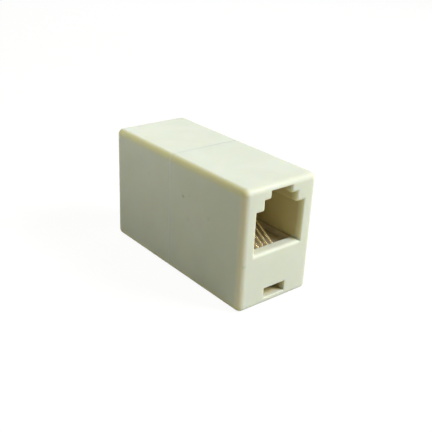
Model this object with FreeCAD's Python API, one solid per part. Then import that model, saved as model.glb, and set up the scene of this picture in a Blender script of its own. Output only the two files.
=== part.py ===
import FreeCAD, Part
import math
import os

# Inline coupler for two six-position telephone plugs, four wires through.
#
# Row frame: X across the body, Y along it, Z up, with the origin in the middle of
# the underside. The front jack faces -Y and the rear jack faces +Y, and both have
# their latch channel on top.
#
# Each jack is drawn once in its own frame: x across, y is the depth behind the jack's
# face and z is the height above the underside. place() turns it to the end it serves.

Vec = FreeCAD.Vector

# Body
LENGTH = 35.8
WIDTH = 15.0
HEIGHT = 21.0
FRONT_SHELL_LENGTH = 19.0
REAR_SHELL_LENGTH = LENGTH - FRONT_SHELL_LENGTH
EDGE_R = 1.05
SEAM_CHAMFER = 0.08

# Shell walls
END_WALL = 1.8
FLOOR = 1.28
CEILING = HEIGHT - 1.2
BAY_HALF = 6.0
GUIDE_DEPTH = 12.9
CORNER_R = 0.6

# Jack opening, from its sill up to the latch notch
OPENING_HALF = 4.975
SILL = 9.7
SHOULDER = 16.8
KEYWAY_HALF = 3.33
KEYWAY_TOP = 18.55
NOTCH_HALF = 2.05
STEP_R = 0.3
RIM_R = 0.4
SILL_R = 0.7

# Coring beside the latch channel
CORE_IN = 4.25
CORE_LOW = 17.7
CORE_START = 2.6

# Catch window in the end wall and the ledge behind it
WINDOW_HALF = 2.22
WINDOW_TOP = 3.0
WINDOW_R = 0.25
LEDGE_HALF = 2.0
LEDGE_FACE = 5.1
LEDGE_FLAT = 0.5
LEDGE_RAMP = 1.3
LEDGE_TOP = 1.9
EMBED = 0.3

# Spigot of the rear shell and its socket in the front shell
SPIGOT_LENGTH = 1.5
SPIGOT_HALF = 6.65
SPIGOT_LOW = 0.71
SPIGOT_HIGH = 20.37
SPIGOT_R = 0.8
SOCKET_CLEAR = 0.05

# Contact springs, eight-sided wire measured across its flats
POSITIONS = 4
PITCH = 1.02
WIRE_HALF = 0.22
SPRING_ANGLE = 30.8
SPRING_DEPTH = 2.85
SPRING_HEIGHT = 8.9
SPRING_END = 12.0
BEND_DEPTH = 3.25
BEND_R = 1.1
TAIL_END = 11.0

# Contact block
BLOCK_BACK = 12.4
BLOCK_HALF = 5.9
RAIL_IN = 4.4
CHEEK_IN = 4.9
CHEEK_TOE = 8.0
CHEEK_HEEL = 4.2
CHEEK_RISE = 6.2
COMB_FACE = 11.0
COMB_CLEAR = 0.1
SLOT_HALF = 0.32
SLOT_LOW = 9.6
SLOT_TOP = 15.0
GROOVE_BAR = (4.6, 5.6)
GROOVE_LOW = 6.2
SHELF = (10.2, 11.4)
TONGUE_HALF = 1.9
TONGUE = (2.05, 2.9)
HOOK_TIP = 4.0
HOOK_FLAT = 0.35
HOOK_LOW = 1.45
HOOK_RISE = 2.2

# Splices and leads
SPLICE = (9.4, 12.6)
SPLICE_HALF_WIDTH = 0.48
SPLICE_HALF_HEIGHT = 0.75
SPLICE_BEVEL = 0.15
CRIMP_DEPTH = 0.18
CRIMP_HALF = 0.35
POCKET_CLEAR = 0.04
LEAD_HALF = 0.45
LEAD_TURN_Y = 3.2
LEAD_RISE = 60.0
LEAD_TURN_R = 2.2
LEAD_CREST_R = 2.4


def place(shape, end):
    """Move a shape from the jack's own frame to the front or the rear end."""
    moved = shape.copy()
    if end == "rear":
        moved.rotate(Vec(0, 0, 0), Vec(0, 0, 1), 180)
        moved.translate(Vec(0, LENGTH / 2, 0))
    else:
        moved.translate(Vec(0, -LENGTH / 2, 0))
    return moved


def across(outline, start, stop):
    """Extrude an outline of (x, z) points from one depth to another."""
    points = [Vec(x, start, z) for x, z in outline]
    wire = Part.makePolygon(points + points[:1])
    return Part.Face(wire).extrude(Vec(0, stop - start, 0))


def along(outline, start, stop):
    """Extrude an outline of (depth, z) points from one x to another."""
    points = [Vec(start, d, z) for d, z in outline]
    wire = Part.makePolygon(points + points[:1])
    return Part.Face(wire).extrude(Vec(stop - start, 0, 0))


def both_halves(right):
    """Close an outline given by its right half, from the bottom up."""
    return right + [(-x, z) for x, z in reversed(right)]


def block(x, d, z):
    """A rectangular prism from (low, high) pairs in x, depth and z."""
    return Part.makeBox(x[1] - x[0], d[1] - d[0], z[1] - z[0], Vec(x[0], d[0], z[0]))


def rounded_tube_core(half, z, d, radius):
    """A rectangular prism along the depth, with its four long edges rounded."""
    core = block((-half, half), d, z)
    long_edges = [e for e in core.Edges if abs(e.tangentAt(e.FirstParameter).y) > 0.99]
    return core.makeFillet(radius, long_edges)


def edges_on_face(shape, depth, test):
    """Edges that lie in the plane of one depth and whose box passes a test."""
    chosen = []
    for edge in shape.Edges:
        box = edge.BoundBox
        flat = abs(box.YMin - depth) < 1e-4 and abs(box.YMax - depth) < 1e-4
        if flat and test(box):
            chosen.append(edge)
    return chosen


# Shells

def outer_form(length):
    """Outside of a shell: rounded along its length and round its end face."""
    form = block((-WIDTH / 2, WIDTH / 2), (0, length), (0, HEIGHT))
    seam = edges_on_face(form, length, lambda box: True)
    rest = [e for e in form.Edges if not any(e.isSame(s) for s in seam)]
    form = form.makeFillet(EDGE_R, rest)
    return form.makeChamfer(SEAM_CHAMFER, edges_on_face(form, length, lambda box: True))


def jack_opening():
    """Stepped opening through the end wall: plug body, keyway and latch notch."""
    steps = [
        (OPENING_HALF, SILL),
        (OPENING_HALF, SHOULDER),
        (KEYWAY_HALF, SHOULDER),
        (KEYWAY_HALF, KEYWAY_TOP),
        (NOTCH_HALF, KEYWAY_TOP),
        (NOTCH_HALF, CEILING),
    ]
    return across(both_halves(steps), -EMBED, END_WALL + EMBED)


def guide_cavity(length):
    """Room behind the end wall: block bay, plug channel and latch channel."""
    steps = [
        (BAY_HALF, FLOOR),
        (BAY_HALF, SILL),
        (OPENING_HALF, SILL),
        (OPENING_HALF, SHOULDER),
        (KEYWAY_HALF, SHOULDER),
        (KEYWAY_HALF, CEILING),
    ]
    cavity = across(both_halves(steps), END_WALL, GUIDE_DEPTH + EMBED)
    for side in (-1, 1):
        x = sorted((side * CORE_IN, side * BAY_HALF))
        cavity = cavity.fuse(block(x, (CORE_START, GUIDE_DEPTH + EMBED), (CORE_LOW, CEILING)))
    chamber = rounded_tube_core(BAY_HALF, (FLOOR, CEILING), (GUIDE_DEPTH, length + EMBED), CORNER_R)
    return cavity.fuse(chamber)


def catch_ledge():
    """Ramped ledge on the shell's floor that the block's hook drops behind."""
    ramp_start = LEDGE_FACE + LEDGE_FLAT
    outline = [
        (LEDGE_FACE, FLOOR - EMBED),
        (LEDGE_FACE, LEDGE_TOP),
        (ramp_start, LEDGE_TOP),
        (ramp_start + LEDGE_RAMP, FLOOR),
        (ramp_start + LEDGE_RAMP, FLOOR - EMBED),
    ]
    return along(outline, -LEDGE_HALF, LEDGE_HALF)


def step_edges(walls):
    """Long edges of the opening's two steps, which run along the depth."""
    chosen = []
    for half, height in ((KEYWAY_HALF, SHOULDER), (NOTCH_HALF, KEYWAY_TOP)):
        for edge in walls.Edges:
            box = edge.BoundBox
            beside = abs(box.XMax - box.XMin) < 1e-4 and abs(abs(box.XMax) - half) < 1e-4
            level = abs(box.ZMin - height) < 1e-4 and abs(box.ZMax - height) < 1e-4
            if beside and level:
                chosen.append(edge)
    return chosen


def shell(length):
    """Moulded half body, before its seam joint is cut or added."""
    walls = block((-WIDTH / 2, WIDTH / 2), (0, length), (0, HEIGHT))
    walls = walls.cut(guide_cavity(length))
    walls = walls.cut(jack_opening())
    window = block((-WINDOW_HALF, WINDOW_HALF), (-EMBED, END_WALL + EMBED), (FLOOR, WINDOW_TOP))
    walls = walls.cut(window)
    walls = walls.makeFillet(STEP_R, step_edges(walls))
    sill = edges_on_face(walls, 0, lambda box: abs(box.ZMax - SILL) < 1e-4)
    walls = walls.makeFillet(SILL_R, sill)
    rim = edges_on_face(walls, 0, lambda box: SILL < box.ZMax <= CEILING + 1e-4)
    rim = [e for e in rim if e.BoundBox.XMax < WIDTH / 2 - 1e-4 and e.BoundBox.XMin > 1e-4 - WIDTH / 2]
    walls = walls.makeFillet(RIM_R, rim)
    frame = edges_on_face(walls, 0, lambda box: EMBED < box.ZMax <= WINDOW_TOP + 1e-4)
    walls = walls.makeFillet(WINDOW_R, frame)
    walls = walls.fuse(catch_ledge())
    return walls.common(outer_form(length)).removeSplitter()


def front_shell():
    """Front half: the longer shell, with the socket for the spigot at its seam."""
    clear = SOCKET_CLEAR
    depth = (FRONT_SHELL_LENGTH - SPIGOT_LENGTH - clear, FRONT_SHELL_LENGTH + EMBED)
    height = (SPIGOT_LOW - clear, SPIGOT_HIGH + clear)
    socket = rounded_tube_core(SPIGOT_HALF + clear, height, depth, SPIGOT_R)
    return place(shell(FRONT_SHELL_LENGTH).cut(socket), "front")


def rear_shell():
    """Rear half: the shorter shell, with the spigot that enters the front half."""
    depth = (REAR_SHELL_LENGTH - SPIGOT_LENGTH, REAR_SHELL_LENGTH + SPIGOT_LENGTH)
    spigot = rounded_tube_core(SPIGOT_HALF, (SPIGOT_LOW, SPIGOT_HIGH), depth, SPIGOT_R)
    hollow = (depth[0] - EMBED, depth[1] + EMBED)
    spigot = spigot.cut(rounded_tube_core(BAY_HALF, (FLOOR, CEILING), hollow, CORNER_R))
    return place(shell(REAR_SHELL_LENGTH).fuse(spigot).removeSplitter(), "rear")


# Contact springs

SPRING_SLOPE = math.tan(math.radians(SPRING_ANGLE))


def spring_height(depth):
    """Height of a contact's rising stretch above a given depth."""
    return SPRING_HEIGHT + SPRING_SLOPE * (depth - SPRING_DEPTH)


BEND_HEIGHT = spring_height(BEND_DEPTH) - BEND_R / math.cos(math.radians(SPRING_ANGLE))
RUN_HEIGHT = BEND_HEIGHT - BEND_R
PLATE_LOW = RUN_HEIGHT + WIRE_HALF


def contact_x(number):
    """Place across the jack of contact 1 to 4, counted from the left of its face."""
    return (number - (POSITIONS + 1) / 2) * PITCH


def wire_section(centre, heading, half):
    """Eight-sided cross-section square to a heading, with flats towards X and the bend."""
    side = Vec(1, 0, 0)
    up = heading.cross(side)
    corner_r = half / math.cos(math.pi / 8)
    points = []
    for step in range(9):
        angle = math.pi / 8 + step * math.pi / 4
        points.append(centre + side * (corner_r * math.cos(angle)) + up * (corner_r * math.sin(angle)))
    return Part.Face(Part.makePolygon(points))


def bent_wire(x, route, radii, half):
    """Wire along (depth, z) points in the plane of one x, with bends of given radii."""
    points = [Vec(x, d, z) for d, z in route]
    pieces = []
    start = points[0]
    for corner, before, after, radius in zip(points[1:], points, points[2:], radii):
        back = (before - corner).normalize()
        ahead = (after - corner).normalize()
        opening = back.getAngle(ahead)
        reach = radius / math.tan(opening / 2)
        centre = corner + (back + ahead).normalize() * (radius / math.sin(opening / 2))
        bend_start = corner + back * reach
        pieces.append(wire_section(start, -back, half).extrude(bend_start - start))
        turn = 180 - math.degrees(opening)
        bend = wire_section(bend_start, -back, half)
        pieces.append(bend.revolve(centre, ahead.cross(back), turn))
        start = corner + ahead * reach
    heading = (points[-1] - start).normalize()
    pieces.append(wire_section(start, heading, half).extrude(points[-1] - start))
    return pieces[0].fuse(pieces[1:]).removeSplitter()


def contact(number):
    """Gold spring wire: free end in the comb, front bend, tail back to its splice."""
    corner = SPRING_DEPTH + (RUN_HEIGHT - SPRING_HEIGHT) / SPRING_SLOPE
    route = [
        (SPRING_END, spring_height(SPRING_END)),
        (corner, RUN_HEIGHT),
        (TAIL_END, RUN_HEIGHT),
    ]
    return bent_wire(contact_x(number), route, (BEND_R,), WIRE_HALF)


# Contact block

def carrier_plate():
    """Plate above the contact tails, with a round nose that the springs bend round."""
    nose_r = BEND_R - WIRE_HALF
    high = BEND_HEIGHT + nose_r
    x = -RAIL_IN - EMBED
    corners = [Vec(x, BLOCK_BACK, PLATE_LOW), Vec(x, BEND_DEPTH, PLATE_LOW)]
    corners += [Vec(x, BEND_DEPTH, high), Vec(x, BLOCK_BACK, high)]
    tip = Vec(x, BEND_DEPTH - nose_r, BEND_HEIGHT)
    edges = [
        Part.LineSegment(corners[0], corners[1]).toShape(),
        Part.Arc(corners[1], tip, corners[2]).toShape(),
        Part.LineSegment(corners[2], corners[3]).toShape(),
        Part.LineSegment(corners[3], corners[0]).toShape(),
    ]
    return Part.Face(Part.Wire(edges)).extrude(Vec(-2 * x, 0, 0))


def side_cheeks():
    """Rails beside the springs and the raked legs that stand on the shell's floor."""
    leg = [
        (END_WALL, SILL),
        (BLOCK_BACK, SILL),
        (BLOCK_BACK, FLOOR),
        (CHEEK_TOE, FLOOR),
        (CHEEK_HEEL, CHEEK_RISE),
        (END_WALL, PLATE_LOW),
    ]
    cheeks = []
    for side in (-1, 1):
        rail_x = sorted((side * RAIL_IN, side * BLOCK_HALF))
        leg_x = sorted((side * CHEEK_IN, side * BLOCK_HALF))
        cheeks.append(block(rail_x, (END_WALL, BLOCK_BACK), (PLATE_LOW, SILL)))
        cheeks.append(along(leg, leg_x[0], leg_x[1]))
    return cheeks


def back_comb():
    """Back wall of the plug's channel, with slots for the free ends of the springs."""
    steps = [
        (BLOCK_HALF, PLATE_LOW),
        (BLOCK_HALF, SILL),
        (OPENING_HALF - COMB_CLEAR, SILL),
        (OPENING_HALF - COMB_CLEAR, SHOULDER - COMB_CLEAR),
        (KEYWAY_HALF - COMB_CLEAR, SHOULDER - COMB_CLEAR),
        (KEYWAY_HALF - COMB_CLEAR, CEILING - COMB_CLEAR),
    ]
    comb = across(both_halves(steps), COMB_FACE, BLOCK_BACK)
    slot_depth = (COMB_FACE - EMBED, BLOCK_BACK + EMBED)
    for number in range(1, POSITIONS + 1):
        x = contact_x(number)
        comb = comb.cut(block((x - SLOT_HALF, x + SLOT_HALF), slot_depth, (SLOT_LOW, SLOT_TOP)))
    return comb


def groove_bar():
    """Bar below the plate with a groove that grips each contact."""
    half = RAIL_IN + EMBED
    bar = block((-half, half), GROOVE_BAR, (GROOVE_LOW, PLATE_LOW + EMBED))
    groove_depth = (GROOVE_BAR[0] - EMBED, GROOVE_BAR[1] + EMBED)
    for number in range(1, POSITIONS + 1):
        x = contact_x(number)
        groove_x = (x - WIRE_HALF, x + WIRE_HALF)
        bar = bar.cut(block(groove_x, groove_depth, (GROOVE_LOW - EMBED, PLATE_LOW)))
    return bar


def splice_shelf():
    """Cross wall below the plate that the splices rest on."""
    half = CHEEK_IN + EMBED
    return block((-half, half), SHELF, (TONGUE[0], PLATE_LOW + EMBED))


def splice_pocket():
    """Room for the row of splices, cut into the shelf and the plate's underside."""
    half = contact_x(POSITIONS) + SPLICE_HALF_WIDTH + POCKET_CLEAR
    height = (RUN_HEIGHT - SPLICE_HALF_HEIGHT, RUN_HEIGHT + SPLICE_HALF_HEIGHT)
    return block((-half, half), (SPLICE[0], BLOCK_BACK + EMBED), height)


def latch_tongue():
    """Springy tongue that runs forward under the contacts to its hook."""
    root = SHELF[0] + EMBED
    outline = [
        (HOOK_TIP, TONGUE[1]),
        (HOOK_TIP, HOOK_RISE),
        (LEDGE_FACE - HOOK_FLAT, HOOK_LOW),
        (LEDGE_FACE, HOOK_LOW),
        (LEDGE_FACE, TONGUE[0]),
        (root, TONGUE[0]),
        (root, TONGUE[1]),
    ]
    return along(outline, -TONGUE_HALF, TONGUE_HALF)


def contact_block():
    """Moulded insert that carries the four springs of one jack."""
    body = carrier_plate()
    body = body.fuse(side_cheeks() + [back_comb(), groove_bar(), splice_shelf(), latch_tongue()])
    return body.cut(splice_pocket()).removeSplitter()


# Splices and leads

def splice(number):
    """Flat-sided crimp barrel that joins a contact's tail to its lead."""
    middle = (SPLICE[0] + SPLICE[1]) / 2
    top = [
        (SPLICE[0], SPLICE_HALF_HEIGHT - SPLICE_BEVEL),
        (SPLICE[0] + SPLICE_BEVEL, SPLICE_HALF_HEIGHT),
        (middle - CRIMP_HALF, SPLICE_HALF_HEIGHT),
        (middle - CRIMP_HALF / 2, SPLICE_HALF_HEIGHT - CRIMP_DEPTH),
        (middle + CRIMP_HALF / 2, SPLICE_HALF_HEIGHT - CRIMP_DEPTH),
        (middle + CRIMP_HALF, SPLICE_HALF_HEIGHT),
        (SPLICE[1] - SPLICE_BEVEL, SPLICE_HALF_HEIGHT),
        (SPLICE[1], SPLICE_HALF_HEIGHT - SPLICE_BEVEL),
    ]
    outline = [(d, RUN_HEIGHT + rise) for d, rise in top]
    outline += [(d, RUN_HEIGHT - rise) for d, rise in reversed(top)]
    x = contact_x(number)
    barrel = along(outline, x - SPLICE_HALF_WIDTH, x + SPLICE_HALF_WIDTH)
    mouth = Vec(x, SPLICE[0], RUN_HEIGHT)
    tail = wire_section(mouth, Vec(0, 1, 0), WIRE_HALF).extrude(Vec(0, TAIL_END - SPLICE[0], 0))
    return barrel.cut(tail)


def link_wire(number):
    """Insulated lead, bowed up between the front and rear splices in line with it."""
    end = LENGTH / 2 - SPLICE[1]
    crest = RUN_HEIGHT + LEAD_TURN_Y * math.tan(math.radians(LEAD_RISE))
    route = [
        (-end, RUN_HEIGHT),
        (-LEAD_TURN_Y, RUN_HEIGHT),
        (0, crest),
        (LEAD_TURN_Y, RUN_HEIGHT),
        (end, RUN_HEIGHT),
    ]
    radii = (LEAD_TURN_R, LEAD_CREST_R, LEAD_TURN_R)
    return bent_wire(contact_x(number), route, radii, LEAD_HALF)


def build():
    """Every piece of the coupler by its node name."""
    pieces = {"front_shell": front_shell(), "rear_shell": rear_shell()}
    for end in ("front", "rear"):
        pieces[end + "_contact_block"] = place(contact_block(), end)
        for number in range(1, POSITIONS + 1):
            pieces["%s_contact_%d" % (end, number)] = place(contact(number), end)
            pieces["%s_splice_%d" % (end, number)] = place(splice(number), end)
    for number in range(1, POSITIONS + 1):
        pieces["link_wire_%d" % number] = link_wire(number)
    return pieces


os.makedirs("parts", exist_ok=True)
for name, shape in build().items():
    print(name, len(shape.Solids), shape.isValid(), round(shape.Volume, 2))
    shape.Solids[0].exportStep("parts/%s.step" % name)
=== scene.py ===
# Inline coupler for two six-position telephone plugs. Sizes are in metres, in the frame of the
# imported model: X runs across the body, Y along it and Z up, and the front jack faces -Y.

import math

import bmesh
import bpy
from mathutils import Matrix, Vector


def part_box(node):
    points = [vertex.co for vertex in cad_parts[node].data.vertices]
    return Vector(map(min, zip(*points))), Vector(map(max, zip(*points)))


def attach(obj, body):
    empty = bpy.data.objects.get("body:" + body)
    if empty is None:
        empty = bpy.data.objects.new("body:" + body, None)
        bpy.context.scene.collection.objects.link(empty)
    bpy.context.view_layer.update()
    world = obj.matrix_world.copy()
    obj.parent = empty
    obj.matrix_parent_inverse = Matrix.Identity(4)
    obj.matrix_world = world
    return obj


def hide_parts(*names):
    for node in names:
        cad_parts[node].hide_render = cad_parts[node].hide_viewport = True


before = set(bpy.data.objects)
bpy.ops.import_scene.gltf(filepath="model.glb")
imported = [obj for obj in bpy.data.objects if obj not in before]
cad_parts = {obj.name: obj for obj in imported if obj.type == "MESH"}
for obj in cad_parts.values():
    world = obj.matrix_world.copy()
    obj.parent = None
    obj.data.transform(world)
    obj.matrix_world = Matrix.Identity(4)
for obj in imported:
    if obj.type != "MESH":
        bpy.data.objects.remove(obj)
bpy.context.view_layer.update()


# ---------------------------------------------------------------------------
# Case halves
# Two ivory ABS mouldings, a longer front one and a shorter rear one. Each is moulded round a
# steel core that leaves its stepped jack opening, and the rear one's spigot is pushed and
# glued into the front one's socket, which leaves a fine seam round the body.
# ---------------------------------------------------------------------------

mm = 0.001

front_low, front_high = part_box("front_shell")
rear_low, rear_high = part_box("rear_shell")
face = front_low.y
seam = front_high.y
side = front_high.x
roof = front_high.z
edge_round = 1.05 * mm
seam_chamfer = 0.04 * mm
rim_round = 0.5 * mm
sill_round = 0.7 * mm
window_round = 0.25 * mm
step_round = 0.3 * mm

floor_top = 1.28 * mm
ceiling = 19.8 * mm
sill = 9.7 * mm
shoulder = 16.8 * mm
keyway_roof = 18.55 * mm
plug_half = 4.9 * mm
keyway_half = 3.33 * mm
notch_half = 2.05 * mm
window_half = 2.22 * mm
window_top = 3.0 * mm
bay_half = 6.0 * mm
bay_round = 0.6 * mm
end_wall = 1.8 * mm
guide_depth = 12.9 * mm
coring_inside = 4.25 * mm
coring_start = face + 2.6 * mm
coring_low = 17.7 * mm
ledge_half = 2.0 * mm
ledge_start = face + 5.1 * mm
ledge_flat_end = face + 5.6 * mm
ledge_ramp_end = face + 6.9 * mm
ledge_top = 1.9 * mm
spigot_half = 6.65 * mm
spigot_low = 0.71 * mm
spigot_high = 20.37 * mm
spigot_round = 0.8 * mm
spigot_play = 0.05 * mm
past = 0.3 * mm  # how far a core runs past the wall that it cuts


def near(a, b):
    return abs(a - b) < 0.004 * mm


def start_block(name, low, high):
    """Add a cube stretched between two corners, with the object's origin left at zero."""
    low, high = Vector(low), Vector(high)
    bpy.ops.object.select_all(action="DESELECT")
    bpy.ops.mesh.primitive_cube_add(size=1, location=(low + high) / 2, scale=high - low)
    bpy.ops.object.transform_apply(location=True, rotation=True, scale=True)
    piece = bpy.context.object
    piece.name = piece.data.name = name
    return piece


def take_up(piece):
    """Make one piece the only selected and active object."""
    bpy.ops.object.select_all(action="DESELECT")
    piece.select_set(True)
    bpy.context.view_layer.objects.active = piece


def open_mesh(piece):
    take_up(piece)
    bpy.ops.object.mode_set(mode="EDIT")


def close_mesh():
    bpy.ops.object.mode_set(mode="OBJECT")


def pick(kind, where):
    """Select the corners, edges or faces in edit mode whose middle passes the test."""
    bpy.ops.mesh.select_mode(type=kind)
    bpy.ops.mesh.select_all(action="DESELECT")
    mesh = bmesh.from_edit_mesh(bpy.context.edit_object.data)
    if kind == "VERT":
        chosen = [v for v in mesh.verts if where(v.co)]
    elif kind == "EDGE":
        chosen = [e for e in mesh.edges if where((e.verts[0].co + e.verts[1].co) / 2)]
    else:
        chosen = [f for f in mesh.faces if where(f.calc_center_median(), f.normal)]
    for item in chosen:
        item.select_set(True)
    mesh.select_flush_mode()
    bmesh.update_edit_mesh(bpy.context.edit_object.data)


def cut_at(direction, places):
    """Cut the whole mesh in edit mode with planes square to a direction."""
    for place in places:
        bpy.ops.mesh.select_all(action="SELECT")
        bpy.ops.mesh.bisect(
            plane_co=Vector(direction) * place, plane_no=direction, threshold=1e-7
        )


def extrude(x=0.0, y=0.0, z=0.0):
    bpy.ops.mesh.extrude_region_move(TRANSFORM_OT_translate={"value": (x, y, z)})


def shift(x=0.0, y=0.0, z=0.0):
    bpy.ops.transform.translate(value=(x, y, z))


def put_in_order(piece):
    """Sort the mesh by its distance from one point, so that each run gives the same mesh."""
    bpy.context.scene.cursor.location = (31.7 * mm, -42.3 * mm, 57.1 * mm)
    open_mesh(piece)
    bpy.ops.mesh.select_all(action="SELECT")
    bpy.ops.mesh.sort_elements(type="CURSOR_DISTANCE", elements={"VERT", "EDGE", "FACE"})
    close_mesh()


def combine(piece, tool, operation):
    """Cut a core out of a piece, or fuse a part to it. The tool is used up."""
    modifier = piece.modifiers.new("combine", "BOOLEAN")
    modifier.object = tool
    modifier.operation = operation
    modifier.solver = "EXACT"
    take_up(piece)
    bpy.ops.object.modifier_apply(modifier=modifier.name)
    bpy.data.objects.remove(tool)
    put_in_order(piece)


def clean_up(piece):
    """Merge what a cut left double, and turn every face outwards."""
    open_mesh(piece)
    bpy.ops.mesh.select_all(action="SELECT")
    bpy.ops.mesh.remove_doubles(threshold=0.001 * mm)
    bpy.ops.mesh.dissolve_limited(angle_limit=math.radians(0.3))
    bpy.ops.mesh.normals_make_consistent(inside=False)
    close_mesh()


def smooth(piece, angle=35.0):
    """Shade curves smoothly and keep the flat faces flat."""
    take_up(piece)
    bpy.ops.object.shade_smooth_by_angle(angle=math.radians(angle))
    modifier = piece.modifiers.new("flat faces", "WEIGHTED_NORMAL")
    modifier.keep_sharp = True
    bpy.ops.object.modifier_apply(modifier=modifier.name)


def outer_form(name, length):
    """Outside of a case half: rounded along its length and round its end face."""
    form = start_block(name, (-side, face, 0), (side, face + length, roof))
    open_mesh(form)
    pick("EDGE", lambda p: not near(p.y, face + length))
    bpy.ops.mesh.bevel(offset=edge_round, segments=8, affect="EDGES")
    cut_at((0, 1, 0), [face + length - seam_chamfer])
    pick("VERT", lambda p: near(p.y, face + length))
    bpy.ops.transform.resize(
        value=(1 - seam_chamfer / side, 1, 1 - 2 * seam_chamfer / roof),
        center_override=(0, face + length, roof / 2),
    )
    close_mesh()
    return form


def round_mouth(radius, sill_radius, sill_height):
    """Flare a core towards the end face, so that it leaves a rounded rim round its hole."""
    depths = [max(radius, sill_radius) * (1 - math.sin(math.radians(a))) for a in range(0, 91, 10)]
    cut_at((0, 1, 0), [face + d for d in depths])

    def widen(r, depth):
        reach = min(max(r - depth, 0.0), r)
        return r - math.sqrt(max(r * r - reach * reach, 0.0))

    middle = sill_height + 0.5 * mm
    for depth in [-1.0 * mm] + depths:
        side_move, sill_move = widen(radius, depth), widen(sill_radius, depth)
        on_ring = lambda p: near(p.y, face + depth)
        if side_move > 0:
            pick("VERT", lambda p: on_ring(p) and p.x < 0)
            shift(x=-side_move)
            pick("VERT", lambda p: on_ring(p) and p.x > 0)
            shift(x=side_move)
            pick("VERT", lambda p: on_ring(p) and p.z > middle)
            shift(z=side_move)
        if sill_move > 0:
            pick("VERT", lambda p: on_ring(p) and p.z < middle)
            shift(z=-sill_move)


def opening_core():
    """Steel core of the jack: plug channel, keyway and latch notch, opening behind the wall."""
    core = start_block(
        "opening_core",
        (-plug_half, face - 1.0 * mm, sill),
        (plug_half, face + guide_depth + past, shoulder),
    )
    wall_back = face + end_wall
    open_mesh(core)
    cut_at((1, 0, 0), [-keyway_half, keyway_half])
    pick("FACE", lambda p, n: n.z > 0.9 and abs(p.x) < keyway_half)
    extrude(z=keyway_roof - shoulder)
    cut_at((1, 0, 0), [-notch_half, notch_half])
    cut_at((0, 1, 0), [wall_back])
    pick(
        "FACE",
        lambda p, n: n.z > 0.9 and near(p.z, keyway_roof)
        and (abs(p.x) < notch_half or p.y > wall_back),
    )
    extrude(z=ceiling - keyway_roof)
    pick(
        "EDGE",
        lambda p: (near(abs(p.x), keyway_half) and near(p.z, shoulder))
        or (near(abs(p.x), notch_half) and near(p.z, keyway_roof) and p.y < wall_back - 0.1 * mm),
    )
    bpy.ops.mesh.bevel(offset=step_round, segments=4, affect="EDGES")
    round_mouth(rim_round, sill_round, sill)
    close_mesh()
    return core


def window_core():
    """Core of the small window under the jack, level with the case's floor."""
    core = start_block(
        "window_core",
        (-window_half, face - 1.0 * mm, floor_top),
        (window_half, face + end_wall + past, window_top),
    )
    open_mesh(core)
    round_mouth(window_round, window_round, floor_top)
    close_mesh()
    return core


def rounded_core(name, half, height, depth, radius):
    """A core with its four long edges rounded."""
    (front, back), (low, high) = depth, height
    core = start_block(name, (-half, face + front, low), (half, face + back, high))
    open_mesh(core)
    pick("EDGE", lambda p: near(abs(p.x), half) and (near(p.z, low) or near(p.z, high)))
    bpy.ops.mesh.bevel(offset=radius, segments=4, affect="EDGES")
    close_mesh()
    return core


def catch_ledge():
    """Ramped ledge on the floor, which the latch of the contact block drops behind."""
    ledge = start_block(
        "ledge",
        (-ledge_half, ledge_start, floor_top - past),
        (ledge_half, ledge_ramp_end, ledge_top),
    )
    open_mesh(ledge)
    cut_at((0, 0, 1), [floor_top])
    pick("VERT", lambda p: near(p.y, ledge_ramp_end) and near(p.z, ledge_top))
    shift(y=ledge_flat_end - ledge_ramp_end)
    close_mesh()
    return ledge


def case_half(name, length):
    """Half body with its jack opening, bay and coring; its window and chamber are cut after."""
    half = outer_form(name, length)
    behind = guide_depth + past
    combine(half, opening_core(), "DIFFERENCE")
    bay = start_block(
        "bay_core", (-bay_half, face + end_wall, floor_top), (bay_half, face + behind, sill)
    )
    combine(half, bay, "DIFFERENCE")
    for turn in (-1, 1):
        low, high = sorted((turn * coring_inside, turn * bay_half))
        coring = start_block(
            "coring", (low, coring_start, coring_low), (high, face + behind, ceiling)
        )
        combine(half, coring, "DIFFERENCE")
    return half


def turn_round(piece):
    """Turn a piece made for the front end about Z, so that it serves the rear end."""
    take_up(piece)
    piece.rotation_euler.z = math.pi
    bpy.ops.object.transform_apply(location=True, rotation=True, scale=True)


front_length = seam - face
rear_length = rear_high.y - seam
spigot_length = seam - rear_low.y

front_case = case_half("front_case", front_length)
chamber_height = (floor_top, ceiling)
chamber_depth = (guide_depth, front_length + past)
chamber = rounded_core("chamber", bay_half, chamber_height, chamber_depth, bay_round)
combine(front_case, chamber, "DIFFERENCE")
socket_height = (spigot_low - spigot_play, spigot_high + spigot_play)
socket_depth = (front_length - spigot_length - spigot_play, front_length + past)
socket = rounded_core(
    "socket", spigot_half + spigot_play, socket_height, socket_depth, spigot_round
)
combine(front_case, socket, "DIFFERENCE")
combine(front_case, window_core(), "DIFFERENCE")
combine(front_case, catch_ledge(), "UNION")
clean_up(front_case)
smooth(front_case)

rear_case = case_half("rear_case", rear_length)
spigot_height = (spigot_low, spigot_high)
spigot_depth = (rear_length - spigot_length, rear_length + spigot_length)
spigot = rounded_core("spigot", spigot_half, spigot_height, spigot_depth, spigot_round)
combine(rear_case, spigot, "UNION")
chamber_depth = (guide_depth, rear_length + spigot_length + past)
chamber = rounded_core("chamber", bay_half, chamber_height, chamber_depth, bay_round)
combine(rear_case, chamber, "DIFFERENCE")
combine(rear_case, window_core(), "DIFFERENCE")
combine(rear_case, catch_ledge(), "UNION")
clean_up(rear_case)
smooth(rear_case)
turn_round(rear_case)


def add(tree, kind, sockets=None, **settings):
    """Add a node. A socket's value is a plain one or another node's output."""
    node = tree.nodes.new(kind)
    for key, value in settings.items():
        setattr(node, key, value)
    for name, value in (sockets or {}).items():
        if isinstance(value, bpy.types.NodeSocket):
            tree.links.new(value, node.inputs[name])
        else:
            node.inputs[name].default_value = value
    return node


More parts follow.
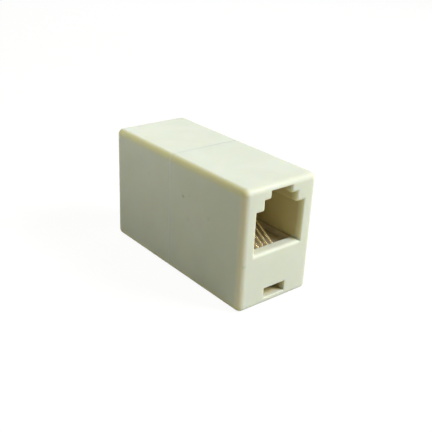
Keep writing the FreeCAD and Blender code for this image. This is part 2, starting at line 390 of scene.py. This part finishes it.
def reckon(tree, operation, a, b=0.0, c=0.0):
    """Output of a Math node."""
    return add(tree, "ShaderNodeMath", {0: a, 1: b, 2: c}, operation=operation).outputs[0]


def mix_colours(tree, share, a, b):
    """Colour a, giving way to colour b by a share."""
    node = add(tree, "ShaderNodeMix", {0: share, 6: a, 7: b}, data_type="RGBA")
    return node.outputs[2]


def rescale(tree, value, low, high, to_low=0.0, to_high=1.0):
    """Smoothly map the span low to high onto another span."""
    spans = {"From Min": low, "From Max": high, "To Min": to_low, "To Max": to_high}
    return add(
        tree, "ShaderNodeMapRange", {"Value": value, **spans}, interpolation_type="SMOOTHSTEP"
    ).outputs[0]


def together(tree, *masks):
    """Where all of the masks hold."""
    share = masks[0]
    for mask in masks[1:]:
        share = reckon(tree, "MULTIPLY", share, mask)
    return share


def new_group(name, takes, gives):
    """An empty shader node group with named sockets, each (name, kind, default)."""
    group = bpy.data.node_groups.new(name, "ShaderNodeTree")
    for socket, kind, default in takes:
        made = group.interface.new_socket(socket, in_out="INPUT", socket_type="NodeSocket" + kind)
        if default is not None:
            made.default_value = default
    for socket, kind in gives:
        group.interface.new_socket(socket, in_out="OUTPUT", socket_type="NodeSocket" + kind)
    given = group.nodes.new("NodeGroupInput").outputs
    result = group.nodes.new("NodeGroupOutput").inputs
    return group, given, result


def moulded_skin():
    """Fine spark grain of the mould and the slow colour drift of the melt."""
    takes = [("Place", "Vector", None), ("Grain", "Float", 7.0), ("Flow", "Float", 0.16)]
    gives = [("Height", "Float"), ("Drift", "Float")]
    group, given, result = new_group("moulded_skin", takes, gives)
    grain = add(
        group,
        "ShaderNodeTexNoise",
        {"Vector": given["Place"], "Scale": given["Grain"], "Detail": 3.0},
    )
    flow = add(
        group,
        "ShaderNodeTexNoise",
        {"Vector": given["Place"], "Scale": given["Flow"], "Detail": 2.0, "Distortion": 0.6},
    )
    height = reckon(group, "MULTIPLY_ADD", flow.outputs["Fac"], 1.5, grain.outputs["Fac"])
    group.links.new(height, result["Height"])
    group.links.new(rescale(group, flow.outputs["Fac"], 0.35, 0.65), result["Drift"])
    return group


def handling_mark():
    """One soft ragged mark, about a place on the surface."""
    takes = [("Place", "Vector", None), ("Middle", "Vector", None), ("Size", "Float", 0.5)]
    group, given, result = new_group("handling_mark", takes, [("Mark", "Float")])
    rag = add(group, "ShaderNodeTexNoise", {"Vector": given["Place"], "Scale": 2.6, "Detail": 3.0})
    away = add(
        group,
        "ShaderNodeVectorMath",
        {0: given["Place"], 1: given["Middle"]},
        operation="DISTANCE",
    ).outputs["Value"]
    ratio = reckon(group, "DIVIDE", away, given["Size"])
    ragged = reckon(group, "MULTIPLY_ADD", rag.outputs["Fac"], 1.4, ratio)
    group.links.new(rescale(group, ragged, 0.8, 1.7, 1.0, 0.0), result["Mark"])
    return group


def seam_and_painted_light_zones():
    """Where the case's seam lies on its sides and top, where its edges are rounded, and inside, as
    masks for a painted seam highlight, painted warm glow on the edges and rim, and painted shade
    inside.
    """
    zones = ("Side seam highlight", "Top seam", "Long edges", "End edge light", "Rim glow", "Inside")
    gives = [(zone, "Float") for zone in zones]
    group, given, result = new_group("seam_and_painted_light_zones", [("Place", "Vector", None)], gives)
    apart = add(group, "ShaderNodeSeparateXYZ", {"Vector": given["Place"]}).outputs
    x = reckon(group, "ABSOLUTE", apart["X"])
    z = apart["Z"]
    half, height, end = side / mm, roof / mm, -face / mm
    from_side = reckon(group, "SUBTRACT", half, x)
    from_top = reckon(group, "SUBTRACT", height, z)
    from_end = reckon(group, "SUBTRACT", end, reckon(group, "ABSOLUTE", apart["Y"]))
    from_seam = reckon(group, "ABSOLUTE", reckon(group, "SUBTRACT", apart["Y"], seam / mm))

    # the seam, with a painted highlight along it on the sides, and dusty on the top
    fine_line = rescale(group, from_seam, 0.05, 0.16, 1.0, 0.0)
    seam_highlight_line = rescale(group, from_seam, 0.08, 0.28, 1.0, 0.0)
    on_side = rescale(group, from_side, 0.1, 0.5, 1.0, 0.0)
    on_top = rescale(group, from_top, 0.1, 0.5, 1.0, 0.0)
    patchy = rescale(group, apart["X"], -7.0, 3.0, 0.25, 1.0)
    group.links.new(together(group, seam_highlight_line, on_side), result["Side seam highlight"])
    group.links.new(together(group, fine_line, on_top, patchy), result["Top seam"])

    # the rounded edges, with painted light: a warm glow along the long edges and a lighter band on
    # the end edges, stronger on the left side
    rounding = edge_round / mm
    outer = rescale(group, from_side, 0.3 * rounding, 0.95 * rounding, 1.0, 0.0)
    painted_light_left_bias = rescale(group, apart["X"], -3.0, 3.0, 1.0, 0.4)
    lengthwise = rescale(group, reckon(group, "MINIMUM", from_top, z), 0.4, 1.6, 1.0, 0.0)
    upright = rescale(group, from_end, 0.4, 1.6, 1.0, 0.0)
    group.links.new(together(group, lengthwise, outer, painted_light_left_bias), result["Long edges"])
    group.links.new(together(group, upright, outer, painted_light_left_bias), result["End edge light"])

    # painted warm shade on the walls of the jack and of the window, without the top of the sill
    over_sill = rescale(group, z, sill / mm + 0.1, sill / mm + 0.6)
    past_sill = rescale(group, from_end, 1.7, 2.2)
    in_window = rescale(group, z, 4.0, 5.0, 1.0, 0.0)
    off_sill = reckon(group, "MAXIMUM", over_sill, reckon(group, "MAXIMUM", past_sill, in_window))
    deep = rescale(group, from_end, 0.2, 1.5)
    under = rescale(group, from_top, 0.9, 1.2)
    within = rescale(group, from_side, 0.9, 1.2)
    above = rescale(group, z, 0.3, 0.6)
    group.links.new(together(group, deep, under, within, above, off_sill), result["Inside"])

    # a painted warm glow on the rounded rim of the jack
    off_face = rescale(group, from_end, 0.02, 0.2)
    shallow = rescale(group, from_end, 0.6, 1.4, 1.0, 0.0)
    below_edge = rescale(group, from_top, 1.6, 1.9)
    off_corner = rescale(group, x, 5.3, 5.6, 1.0, 0.0)
    rim = together(group, off_face, shallow, below_edge, off_corner, over_sill)
    group.links.new(rim, result["Rim glow"])
    return group


def new_finish(name, **uniform):
    """A material with a Principled shader, its even values set on the shader's own sockets."""
    material = bpy.data.materials.new(name)
    material.use_nodes = True
    tree = material.node_tree
    shader = tree.nodes["Principled BSDF"]
    for socket, value in uniform.items():
        shader.inputs[socket.replace("_", " ")].default_value = value
    spot = add(tree, "ShaderNodeTexCoord").outputs["Object"]
    place = add(tree, "ShaderNodeMapping", {"Vector": spot, "Scale": (1000, 1000, 1000)}).outputs[0]
    return material, tree, shader, place


def lay_skin(tree, place, **values):
    """The moulded skin in one material, with its own grain and flow where they are given."""
    skin = add(tree, "ShaderNodeGroup", node_tree=skin_group)
    tree.links.new(place, skin.inputs["Place"])
    for name, value in values.items():
        skin.inputs[name].default_value = value
    return skin.outputs


def roughen(tree, shader, drift, spread, least):
    """Roughness that drifts over the surface."""
    gloss = reckon(tree, "MULTIPLY_ADD", drift, spread, least)
    tree.links.new(gloss, shader.inputs["Roughness"])


def emboss(tree, shader, height, strength, depth):
    """Relief by a Bump node, which is handed back."""
    sockets = {"Height": height, "Strength": strength, "Distance": depth}
    bump = add(tree, "ShaderNodeBump", sockets)
    tree.links.new(bump.outputs["Normal"], shader.inputs["Normal"])
    return bump


skin_group = moulded_skin()
mark_group = handling_mark()
case_group = seam_and_painted_light_zones()


def case_finish():
    """Ivory ABS, slightly translucent, with the marks that handling left on it, painted warm glow
    on its rounded edges and rim, painted shade inside and a painted highlight on the side seam.
    """
    material, tree, shader, place = new_finish(
        "ivory_abs",
        Subsurface_Weight=0.5,
        Subsurface_Radius=(1.0, 0.75, 0.3),
        Subsurface_Scale=1.3 * mm,
        IOR=1.5,
        Specular_IOR_Level=0.3,
    )
    skin = lay_skin(tree, place)
    ivory_light, ivory_deep = (0.713, 0.752, 0.654, 1), (0.694, 0.735, 0.629, 1)
    colour = mix_colours(tree, skin["Drift"], ivory_light, ivory_deep)
    zones = add(tree, "ShaderNodeGroup", node_tree=case_group)
    tree.links.new(place, zones.inputs["Place"])
    # tints over the ivory: painted light on the edges and rim, painted warm shade inside, a painted
    # highlight on the side seam and a dusty line on the top seam
    for zone, strength, tint in (
        ("End edge light", 0.8, (0.93, 0.89, 0.70, 1)),
        ("Long edges", 0.9, (0.75, 0.735, 0.42, 1)),
        ("Inside", 0.9, (0.66, 0.57, 0.29, 1)),
        ("Rim glow", 0.8, (0.86, 0.83, 0.56, 1)),
        ("Side seam highlight", 0.65, (0.94, 0.95, 0.82, 1)),
        ("Top seam", 0.6, (0.50, 0.51, 0.43, 1)),
    ):
        share = reckon(tree, "MULTIPLY", zones.outputs[zone], strength)
        colour = mix_colours(tree, share, colour, tint)
    marks = (
        ((-7.5, -2.75, 14.9), 0.5, (0.40, 0.43, 0.30, 1), 0.6),
        ((-7.5, -4.4, 15.5), 0.35, (0.50, 0.52, 0.38, 1), 0.35),
        ((-7.5, -4.15, 11.4), 0.9, (0.52, 0.54, 0.42, 1), 0.22),
        ((-7.5, -9.5, 13.5), 0.8, (0.52, 0.54, 0.42, 1), 0.25),
        ((-7.5, 7.3, 15.6), 0.6, (0.52, 0.54, 0.42, 1), 0.2),
        ((-6.8, -17.85, 8.35), 0.55, (0.52, 0.62, 0.42, 1), 0.5),
        ((-5.7, 10.8, 21.0), 0.4, (0.60, 0.62, 0.46, 1), 0.25),
    )
    for middle, size, tint, strength in marks:
        mark = add(tree, "ShaderNodeGroup", node_tree=mark_group)
        tree.links.new(place, mark.inputs["Place"])
        mark.inputs["Middle"].default_value = middle
        mark.inputs["Size"].default_value = size
        share = reckon(tree, "MULTIPLY", mark.outputs["Mark"], strength)
        colour = mix_colours(tree, share, colour, tint)
    tree.links.new(colour, shader.inputs["Base Color"])
    roughen(tree, shader, skin["Drift"], 0.06, 0.4)
    emboss(tree, shader, skin["Height"], 0.25, 0.02 * mm)
    return material


def fit(piece, node, finish):
    """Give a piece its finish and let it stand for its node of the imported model."""
    piece.data.materials.clear()
    piece.data.materials.append(finish)
    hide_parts(node)
    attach(piece, "root")


ivory = case_finish()
fit(front_case, "front_shell", ivory)
fit(rear_case, "rear_shell", ivory)


# ---------------------------------------------------------------------------
# Contact blocks
# One nylon insert behind each jack, with rails beside the springs, a round-nosed plate they
# bend round and a comb that guards their free ends. It slides in from behind, and its sprung
# tongue drops its hook behind the ledge on the case's floor.
# ---------------------------------------------------------------------------

pitch = 1.02 * mm
wire_radius = 0.22 * mm
slope = math.radians(30.8)
bend_radius = 1.1 * mm
bend_y = face + 3.25 * mm
nose_radius = bend_radius - wire_radius
spring_point = Vector((0, face + 2.85 * mm, 8.9 * mm))
bend_z = spring_point.z + math.tan(slope) * (bend_y - spring_point.y)
bend_z -= bend_radius / math.cos(slope)
tail_z = bend_z - bend_radius
plate_low = tail_z + wire_radius
block_back = face + 12.4 * mm
block_half = 5.9 * mm
rail_inside = 4.4 * mm
leg_inside = 4.9 * mm
leg_toe = face + end_wall + 6.2 * mm
leg_heel = face + end_wall + 2.4 * mm
grip_low = 6.2 * mm
grip_front = face + 4.6 * mm
grip_back = face + 5.6 * mm
comb_front = face + 11.0 * mm
comb_play = 0.1 * mm
slot_half = 0.32 * mm
slot_low = 9.6 * mm
slot_top = 15.0 * mm
shelf_half = 5.2 * mm
shelf_front = face + 10.2 * mm
shelf_back = face + 11.4 * mm
tongue_half = 1.9 * mm
tongue_low = 2.05 * mm
tongue_top = 2.9 * mm
tongue_heel = face + 10.5 * mm
hook_tip = face + 4.0 * mm
hook_flat = face + 4.75 * mm
hook_heel = face + 5.1 * mm
hook_drop = 0.6 * mm
hook_rise = 0.75 * mm
splice_front = face + 9.4 * mm
splice_back = face + 12.6 * mm
splice_half_width = 0.48 * mm
splice_half_height = 0.75 * mm
lanes = [(n - 1.5) * pitch for n in range(4)]


def side_rail(turn):
    """Rail beside the springs, with the raked leg below it that stands on the floor."""
    low, high = sorted((turn * rail_inside, turn * block_half))
    rail = start_block("rail", (low, face + end_wall, plate_low), (high, block_back, sill))
    low, high = sorted((turn * leg_inside, turn * block_half))
    leg = start_block("leg", (low, face + end_wall, floor_top), (high, block_back, sill))
    open_mesh(leg)
    cut_at((0, 0, 1), [grip_low, plate_low])
    pick("VERT", lambda p: near(p.y, face + end_wall) and near(p.z, floor_top))
    shift(y=leg_toe - face - end_wall)
    pick("VERT", lambda p: near(p.y, face + end_wall) and near(p.z, grip_low))
    shift(y=leg_heel - face - end_wall)
    close_mesh()
    combine(rail, leg, "UNION")
    return rail


def carrier_plate():
    """Plate over the contacts' tails, its front edge rounded for the springs to bend round."""
    half = rail_inside + past
    front, top = bend_y - nose_radius, bend_z + nose_radius
    plate = start_block("plate", (-half, front, plate_low), (half, block_back, top))
    open_mesh(plate)
    pick("EDGE", lambda p: near(p.y, front) and abs(p.x) < 0.1 * mm)
    bpy.ops.mesh.bevel(offset=nose_radius * 0.999, segments=8, affect="EDGES")
    close_mesh()
    return plate


def comb():
    """Back wall of the plug's channel, with a slot for each spring's free end."""
    wall = start_block("comb", (-block_half, comb_front, plate_low), (block_half, block_back, sill))
    open_mesh(wall)
    base = sill
    for half, top in ((plug_half, shoulder - comb_play), (keyway_half, ceiling - comb_play)):
        cut_at((1, 0, 0), [comb_play - half, half - comb_play])
        pick("FACE", lambda p, n: n.z > 0.9 and abs(p.x) < half - comb_play)
        extrude(z=top - base)
        base = top
    close_mesh()
    for x in lanes:
        slot = start_block(
            "slot",
            (x - slot_half, comb_front - past, slot_low),
            (x + slot_half, block_back + past, slot_top),
        )
        combine(wall, slot, "DIFFERENCE")
    return wall


def groove_bar():
    """Bar under the plate that grips each contact in a groove."""
    half = rail_inside + past
    bar = start_block(
        "bar", (-half, grip_front, grip_low), (half, grip_back, plate_low + past)
    )
    for x in lanes:
        groove = start_block(
            "groove",
            (x - wire_radius, grip_front - past, grip_low - past),
            (x + wire_radius, grip_back + past, plate_low),
        )
        combine(bar, groove, "DIFFERENCE")
    return bar


def latch_tongue():
    """Springy tongue that runs forward from the shelf to its hook."""
    tongue = start_block(
        "tongue", (-tongue_half, hook_tip, tongue_low), (tongue_half, tongue_heel, tongue_top)
    )
    open_mesh(tongue)
    cut_at((0, 1, 0), [hook_flat, hook_heel])
    pick("FACE", lambda p, n: n.z < -0.9 and p.y < hook_heel)
    extrude(z=-hook_drop)
    pick("VERT", lambda p: near(p.y, hook_tip) and near(p.z, tongue_low - hook_drop))
    shift(z=hook_rise)
    close_mesh()
    return tongue


def contact_block(name):
    block = carrier_plate()
    block.name = block.data.name = name
    for part in (side_rail(-1), side_rail(1), comb(), groove_bar()):
        combine(block, part, "UNION")
    shelf = start_block(
        "shelf",
        (-shelf_half, shelf_front, tongue_low),
        (shelf_half, shelf_back, plate_low + past),
    )
    combine(block, shelf, "UNION")
    combine(block, latch_tongue(), "UNION")
    pocket_half = lanes[3] + splice_half_width + 0.04 * mm
    pocket = start_block(
        "pocket",
        (-pocket_half, splice_front, tail_z - splice_half_height),
        (pocket_half, block_back + past, tail_z + splice_half_height),
    )
    combine(block, pocket, "DIFFERENCE")
    clean_up(block)
    corners = block.modifiers.new("corners", "BEVEL")
    corners.width = 0.07 * mm
    corners.segments = 2
    corners.limit_method = "ANGLE"
    corners.angle_limit = math.radians(50)
    take_up(block)
    bpy.ops.object.modifier_apply(modifier=corners.name)
    smooth(block)
    return block


front_block = contact_block("front_insert")
rear_block = contact_block("rear_insert")
turn_round(rear_block)


def insert_finish():
    """Natural nylon, slightly translucent."""
    material, tree, shader, place = new_finish(
        "natural_nylon",
        Subsurface_Weight=0.3,
        Subsurface_Radius=(1.0, 0.72, 0.3),
        Subsurface_Scale=1.0 * mm,
        IOR=1.53,
    )
    skin = lay_skin(tree, place, Grain=5.0, Flow=0.3)
    colour = mix_colours(tree, skin["Drift"], (0.53, 0.46, 0.34, 1), (0.47, 0.40, 0.28, 1))
    tree.links.new(colour, shader.inputs["Base Color"])
    roughen(tree, shader, skin["Drift"], 0.08, 0.48)
    emboss(tree, shader, skin["Height"], 0.3, 0.02 * mm)
    return material


nylon = insert_finish()
fit(front_block, "front_contact_block", nylon)
fit(rear_block, "rear_contact_block", nylon)


# ---------------------------------------------------------------------------
# Contact springs
# Four gold-plated round wires in each jack. Each runs from its slot in the comb down to the
# plate's round nose, bends back under it and ends in a splice.
# ---------------------------------------------------------------------------


def start_wire(name, radius, start, heading, sides=16):
    """A round end of wire, facing along its heading in the plane of one x."""
    bpy.ops.object.select_all(action="DESELECT")
    tilt = math.atan2(-heading.y, heading.z)
    bpy.ops.mesh.primitive_circle_add(
        vertices=sides, radius=radius, fill_type="NGON", location=start, rotation=(tilt, 0, 0)
    )
    bpy.ops.object.transform_apply(location=True, rotation=True, scale=True)
    piece = bpy.context.object
    piece.name = piece.data.name = name
    open_mesh(piece)
    bpy.ops.mesh.select_all(action="SELECT")
    return piece


def run_on(heading, length):
    """Draw the wire's end face straight on."""
    extrude(*(heading.normalized() * length))


def bend(centre, degrees, steps):
    """Carry the wire's end face round a centre, about X."""
    bpy.ops.mesh.spin(steps=steps, angle=math.radians(-degrees), center=centre, axis=(1, 0, 0))


def spring_wire(name):
    """One contact spring in the middle lane, drawn from its free end to its tail."""
    heading = Vector((0, -math.cos(slope), -math.sin(slope)))
    bend_centre = Vector((0, bend_y, bend_z))
    bend_start = bend_centre + Vector((0, -math.sin(slope), math.cos(slope))) * bend_radius
    free_end_y, tail_end = face + 12.0 * mm, face + 11.0 * mm
    free_end = bend_start - heading * ((free_end_y - bend_start.y) / math.cos(slope))
    wire = start_wire(name, wire_radius, free_end, heading)
    run_on(heading, (bend_start - free_end).length)
    bend(bend_centre, 180 - math.degrees(slope), 14)
    run_on(Vector((0, 1, 0)), tail_end - bend_y)
    bpy.ops.mesh.select_all(action="SELECT")
    bpy.ops.mesh.normals_make_consistent(inside=False)
    pick("FACE", lambda p, n: near(p.y, tail_end) or n.dot(heading) < -0.99)
    bpy.ops.mesh.region_to_loop()
    bpy.ops.mesh.bevel(offset=0.06 * mm, segments=2, affect="EDGES")
    close_mesh()
    smooth(wire, 50)
    return wire


def copy_to(piece, name, x=0.0):
    """A copy with its own mesh, moved across to another lane."""
    take_up(piece)
    bpy.ops.object.duplicate(linked=False)
    twin = bpy.context.object
    twin.name = twin.data.name = name
    twin.location.x = x
    bpy.ops.object.transform_apply(location=True, rotation=True, scale=True)
    return twin


springs = []
first_spring = spring_wire("spring")
for n in range(4):
    springs.append(copy_to(first_spring, "front_spring_%d" % (n + 1), lanes[n]))
for n in range(4):
    springs.append(copy_to(first_spring, "rear_spring_%d" % (n + 1), lanes[n]))
    turn_round(springs[-1])
bpy.data.objects.remove(first_spring)


def drawn_metal():
    """Lines along a drawn or rolled metal, fine ripples across it, and its plating's patches."""
    takes = [("Place", "Vector", None), ("Lines", "Float", 14.0), ("Patches", "Float", 0.8)]
    gives = [("Lines", "Float"), ("Ripples", "Float"), ("Patches", "Float")]
    group, given, result = new_group("drawn_metal", takes, gives)
    stretched = add(group, "ShaderNodeMapping", {"Vector": given["Place"], "Scale": (1, 0.04, 0.5)})
    lines = add(
        group,
        "ShaderNodeTexNoise",
        {"Vector": stretched.outputs[0], "Scale": given["Lines"], "Detail": 3.0},
    )
    across = add(group, "ShaderNodeMapping", {"Vector": given["Place"], "Scale": (0.5, 18, 18)})
    ripples = add(
        group,
        "ShaderNodeTexNoise",
        {"Vector": across.outputs[0], "Scale": 1.0, "Detail": 1.0},
    )
    patches = add(
        group,
        "ShaderNodeTexNoise",
        {"Vector": given["Place"], "Scale": given["Patches"], "Detail": 2.0},
    )
    group.links.new(lines.outputs["Fac"], result["Lines"])
    group.links.new(ripples.outputs["Fac"], result["Ripples"])
    group.links.new(rescale(group, patches.outputs["Fac"], 0.35, 0.65), result["Patches"])
    return group


metal_group = drawn_metal()


def plated_finish(name, bright, dull, roughness, spread, ripple):
    """Plating, bright in some patches and duller in others, over drawn metal."""
    material, tree, shader, place = new_finish(name, Metallic=1.0)
    metal = add(tree, "ShaderNodeGroup", node_tree=metal_group)
    tree.links.new(place, metal.inputs["Place"])
    colour = mix_colours(tree, metal.outputs["Patches"], bright, dull)
    tree.links.new(colour, shader.inputs["Base Color"])
    roughen(tree, shader, metal.outputs["Lines"], spread, roughness)
    scored = emboss(tree, shader, metal.outputs["Lines"], 0.2, 0.01 * mm)
    rippled = emboss(tree, shader, metal.outputs["Ripples"], ripple, 0.03 * mm)
    tree.links.new(scored.outputs["Normal"], rippled.inputs["Normal"])
    return material


gold = plated_finish(
    "contact_gold", (1.0, 0.93, 0.68, 1), (0.90, 0.79, 0.52, 1), 0.15, 0.1, 0.8
)
for n in range(4):
    fit(springs[n], "front_contact_%d" % (n + 1), gold)
    fit(springs[n + 4], "rear_contact_%d" % (n + 1), gold)


# ---------------------------------------------------------------------------
# Splices
# Tinned brass barrels in a row behind each plate. A barrel is rolled from strip, slipped over
# the contact's tail and the lead's stripped end, and crimped flat across its middle.
# ---------------------------------------------------------------------------


def crimp_barrel(name):
    """One crimped barrel, bored from the front for the tail and from behind for the lead."""
    middle = (splice_front + splice_back) / 2
    half, low, high = splice_half_width, tail_z - splice_half_height, tail_z + splice_half_height
    barrel = start_block(name, (-half, splice_front, low), (half, splice_back, high))
    open_mesh(barrel)
    pick("EDGE", lambda p: near(abs(p.x), half) and (near(p.z, low) or near(p.z, high)))
    bpy.ops.mesh.bevel(offset=0.3 * mm, segments=5, affect="EDGES")
    cut_at((0, 1, 0), [middle + d * mm for d in (-0.55, -0.35, -0.17, 0.17, 0.35, 0.55)])
    for reach, depth in ((0.36 * mm, 0.06 * mm), (0.18 * mm, 0.12 * mm)):
        for turn in (-1, 1):
            pick("VERT", lambda p: abs(p.y - middle) < reach and turn * (p.z - tail_z) > 0.2 * mm)
            shift(z=-turn * depth)
    for end, bore in ((splice_front, 1.65 * mm), (splice_back, -0.3 * mm)):
        pick("FACE", lambda p, n: near(p.y, end))
        bpy.ops.mesh.inset(thickness=0.22 * mm, depth=0)
        extrude(y=bore)
    close_mesh()
    smooth(barrel, 40)
    return barrel


splices = []
first_splice = crimp_barrel("splice")
for n in range(4):
    splices.append(copy_to(first_splice, "front_barrel_%d" % (n + 1), lanes[n]))
for n in range(4):
    splices.append(copy_to(first_splice, "rear_barrel_%d" % (n + 1), lanes[n]))
    turn_round(splices[-1])
bpy.data.objects.remove(first_splice)

tin = plated_finish("splice_tin", (0.78, 0.77, 0.74, 1), (0.66, 0.65, 0.62, 1), 0.3, 0.2, 0.1)
for n in range(4):
    fit(splices[n], "front_splice_%d" % (n + 1), tin)
    fit(splices[n + 4], "rear_splice_%d" % (n + 1), tin)


# ---------------------------------------------------------------------------
# Leads
# Four short insulated wires that join the two jacks inside the case. They are a little longer
# than the gap between the splices, so each bows up in the middle.
# ---------------------------------------------------------------------------

lead_radius = 0.45 * mm


def bowed_lead(name):
    """One lead, bowed up between the front splice and the rear one."""
    start = Vector((0, splice_back, tail_z))
    turn_y, turn_radius, crest_radius, rise = 3.2 * mm, 2.2 * mm, 2.4 * mm, math.radians(60)
    turn_length, crest_length = turn_radius * math.tan(rise / 2), crest_radius * math.tan(rise)
    foot = -turn_y - turn_length
    crest = tail_z + turn_y * math.tan(rise)
    up = Vector((0, math.cos(rise), math.sin(rise)))
    down = Vector((0, math.cos(rise), -math.sin(rise)))
    straight = turn_y / math.cos(rise) - turn_length - crest_length
    lead = start_wire(name, lead_radius, start, Vector((0, 1, 0)), sides=18)
    run_on(Vector((0, 1, 0)), foot - start.y)
    bend((0, foot, tail_z + turn_radius), 60, 8)
    run_on(up, straight)
    bend((0, 0, crest - crest_radius / math.cos(rise)), -120, 16)
    run_on(down, straight)
    bend((0, -foot, tail_z + turn_radius), 60, 8)
    run_on(Vector((0, 1, 0)), foot - start.y)
    bpy.ops.mesh.select_all(action="SELECT")
    bpy.ops.mesh.normals_make_consistent(inside=False)
    pick("FACE", lambda p, n: near(abs(p.y), -start.y))
    bpy.ops.mesh.region_to_loop()
    bpy.ops.mesh.bevel(offset=0.05 * mm, segments=2, affect="EDGES")
    close_mesh()
    smooth(lead, 50)
    return lead


leads = []
first_lead = bowed_lead("lead")
for n in range(4):
    leads.append(copy_to(first_lead, "lead_%d" % (n + 1), lanes[n]))
bpy.data.objects.remove(first_lead)


def insulation_finish(name, colour, worn):
    """Coloured PVC, dulled in patches."""
    material, tree, shader, place = new_finish(name, IOR=1.52)
    skin = lay_skin(tree, place, Grain=4.0, Flow=0.5)
    tint = mix_colours(tree, skin["Drift"], colour, worn)
    tree.links.new(tint, shader.inputs["Base Color"])
    roughen(tree, shader, skin["Drift"], 0.1, 0.38)
    emboss(tree, shader, skin["Height"], 0.25, 0.02 * mm)
    return material


insulation = (
    ("lead_black", (0.020, 0.020, 0.022, 1), (0.035, 0.035, 0.035, 1)),
    ("lead_red", (0.46, 0.030, 0.024, 1), (0.40, 0.035, 0.030, 1)),
    ("lead_green", (0.030, 0.26, 0.075, 1), (0.035, 0.22, 0.070, 1)),
    ("lead_yellow", (0.76, 0.56, 0.055, 1), (0.70, 0.50, 0.060, 1)),
)
for n, (slot, colour, worn) in enumerate(insulation):
    fit(leads[n], "link_wire_%d" % (n + 1), insulation_finish(slot, colour, worn))


# ---------------------------------------------------------------------------
# Studio
# A white sweep under and behind the coupler. The key stands high on its right front, a weaker
# lamp behind it on the right and a small fill close above its left side, in a dim warm room
# that looks white to the eye. The camera stands high on the coupler's left front.
# ---------------------------------------------------------------------------


def white_for_the_eye(tree, plain, shown):
    """Shader that is plain for diffuse light and shown for the camera, mirrors and glass."""
    path = add(tree, "ShaderNodeLightPath").outputs
    seen = reckon(tree, "MAXIMUM", path["Is Camera Ray"], path["Is Glossy Ray"])
    seen = reckon(tree, "MAXIMUM", seen, path["Is Transmission Ray"])
    return add(tree, "ShaderNodeMixShader", {0: seen, 1: plain, 2: shown}).outputs[0]


bpy.ops.object.select_all(action="DESELECT")
bpy.ops.mesh.primitive_plane_add(size=6, location=(0, 0, -0.03 * mm))
floor = bpy.context.object
floor.name = "studio_floor"
paper = bpy.data.materials.new("studio_paper")
paper.use_nodes = True
tree = paper.node_tree
tree.nodes.clear()
matt = add(tree, "ShaderNodeBsdfDiffuse", {"Color": (0.5, 0.5, 0.46, 1)})
faint = add(tree, "ShaderNodeBsdfDiffuse", {"Color": (0.12, 0.12, 0.12, 1)})
glow = add(tree, "ShaderNodeEmission", {"Strength": 0.93})
shown = add(tree, "ShaderNodeAddShader", {0: faint.outputs[0], 1: glow.outputs[0]})
output = add(tree, "ShaderNodeOutputMaterial")
tree.links.new(white_for_the_eye(tree, matt.outputs[0], shown.outputs[0]), output.inputs["Surface"])
floor.data.materials.append(paper)

world = bpy.data.worlds.new("white_room")
bpy.context.scene.world = world
world.use_nodes = True
tree = world.node_tree
tree.nodes.clear()
room = add(tree, "ShaderNodeBackground", {"Color": (1.0, 0.95, 0.5, 1), "Strength": 0.15})
white = add(tree, "ShaderNodeBackground", {"Color": (1, 1, 1, 1), "Strength": 1.0})
output = add(tree, "ShaderNodeOutputWorld")
tree.links.new(white_for_the_eye(tree, room.outputs[0], white.outputs[0]), output.inputs["Surface"])

middle = Vector((0, 0, roof / 2))


def soft_lamp(name, direction, distance, size, power, colour):
    """Square lamp that faces the coupler from a direction."""
    bpy.ops.object.select_all(action="DESELECT")
    place = middle + Vector(direction).normalized() * distance
    bpy.ops.object.light_add(type="AREA", location=place)
    lamp = bpy.context.object
    lamp.name = name
    lamp.rotation_euler = Vector(direction).to_track_quat("Z", "Y").to_euler()
    lamp.data.size = size
    lamp.data.energy = power
    lamp.data.color = colour
    lamp.visible_camera = False


soft_lamp("key", (0.51, -0.59, 0.6), 0.4, 0.2, 1.8, (1.0, 1.0, 1.0))
soft_lamp("back_light", (0.6, 0.7, 0.6), 0.4, 0.3, 0.2, (0.9, 1.0, 1.08))
soft_lamp("side_fill", (-0.66, 0.25, 0.85), 0.06, 0.04, 0.009, (1.0, 1.0, 0.97))

turn, rise, lean = math.radians(-39.96), math.radians(24.59), math.radians(2.71)
ahead = Vector((-math.sin(turn), math.cos(turn), 0))
level = Vector((math.cos(turn), math.sin(turn), 0))
backwards = Vector((0, 0, math.sin(rise))) - ahead * math.cos(rise)
upright = backwards.cross(level)
rightwards = math.cos(lean) * level + math.sin(lean) * upright
upwards = math.cos(lean) * upright - math.sin(lean) * level
bpy.ops.object.camera_add(
    location=middle + backwards * 120.86 * mm + rightwards * 1.43 * mm - upwards * 1.91 * mm
)
camera = bpy.context.object
camera.name = "camera"
camera.rotation_mode = "QUATERNION"
camera.rotation_quaternion = Matrix((rightwards, upwards, backwards)).transposed().to_quaternion()
camera.data.sensor_width = 36
camera.data.lens = 57.37
camera.data.clip_start = 5 * mm
bpy.context.scene.camera = camera
bpy.context.scene.view_settings.view_transform = "Standard"
